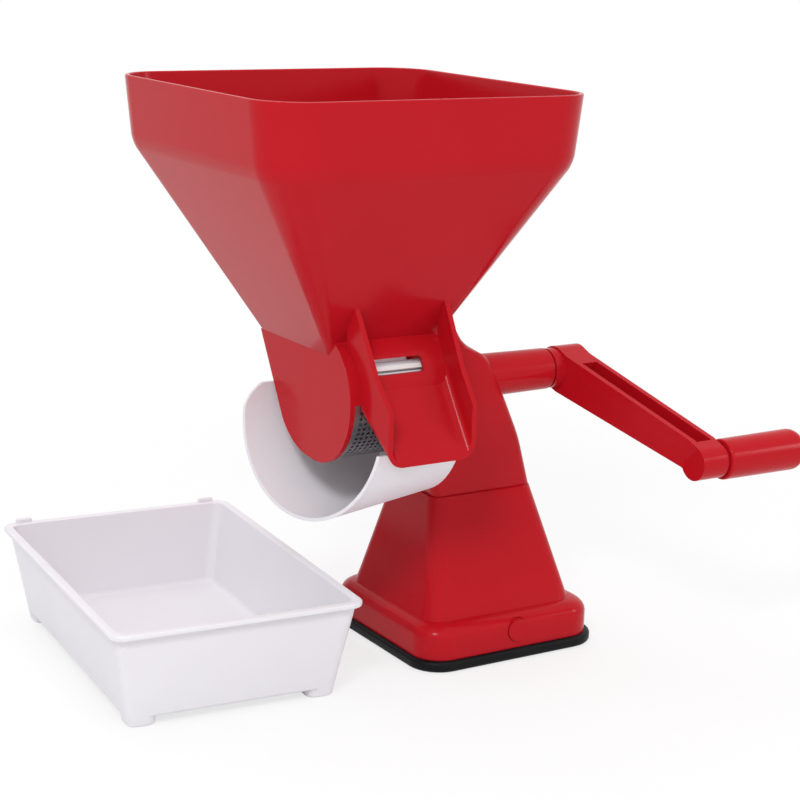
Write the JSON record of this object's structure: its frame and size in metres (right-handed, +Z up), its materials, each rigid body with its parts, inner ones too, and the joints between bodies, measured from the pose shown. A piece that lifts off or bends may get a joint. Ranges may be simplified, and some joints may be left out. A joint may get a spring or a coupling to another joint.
{
  "type": "hand cranked food mill",
  "caption": "Hand cranked food mill: square hopper over a wiper rotor and half-round sieve, tilted juice chute, peel slide, suction foot and a loose tray.",
  "frame": {"origin": "middle of the rubber pad's underside, on the table", "axes": "+X along the crank axis towards the grip, -Y towards the peel slide at the front, +Z up"},
  "size_m": [0.4083, 0.2976, 0.34],
  "materials": {
    "red_plastic": "glossy moulded red plastic",
    "white_plastic": "satin white plastic",
    "black_rubber": "matt black rubber",
    "blade_rubber": "soft white food-grade wiper rubber",
    "bush_plastic": "natural acetal",
    "steel": "plain stainless steel"
  },
  "bodies": {
    "frame": {"hopper_body": "red_plastic", "base_housing": "red_plastic", "suction_pad": "black_rubber", "body_screws": "steel", "chute": "white_plastic", "chute_screw": "steel", "sieve": "steel", "sieve_screws": "steel", "shaft_bush": "bush_plastic", "tube_bush": "bush_plastic", "pivot_bush": "bush_plastic", "shaft_seal": "black_rubber"},
    "crank": {"drive_shaft": "steel", "rotor": "white_plastic", "rotor_blades": "blade_rubber", "thrust_washer": "bush_plastic", "crank_arm": "red_plastic", "crank_screw": "steel", "grip_pin": "steel"},
    "grip": {"hand_grip": "red_plastic"},
    "lever": {"suction_lever": "red_plastic", "cam_axle": "red_plastic", "lever_screw": "steel"},
    "stud": {"pad_stud": "bush_plastic"},
    "tray": {"drip_tray": "white_plastic"}
  },
  "joints": [
    {"name": "crank_turn", "type": "hinge", "parent": "frame", "child": "crank", "pos_m": [0, -0.0265, 0.169], "axis": [1, 0, 0], "continuous": true},
    {"name": "grip_spin", "type": "hinge", "parent": "crank", "child": "grip", "pos_m": [0.12, -0.12987, 0.13138], "axis": [1, 0, 0], "continuous": true},
    {"name": "lever_turn", "type": "hinge", "parent": "frame", "child": "lever", "pos_m": [0.0023, 0, 0.0177], "axis": [0, -1, 0], "range_deg": [0, 180]},
    {"name": "stud_lift", "type": "slide", "parent": "frame", "child": "stud", "axis": [0, 0, 1], "range_m": [0, 0.003]},
    {"name": "tray_slide", "type": "slide", "parent": "frame", "child": "tray", "axis": [-1, 0, 0], "range_m": [0, 0.15]}
  ],
  "couplings": [
    {"joint": "lever_turn", "follows": "stud_lift", "rad_per_m": 1047.2}
  ]
}
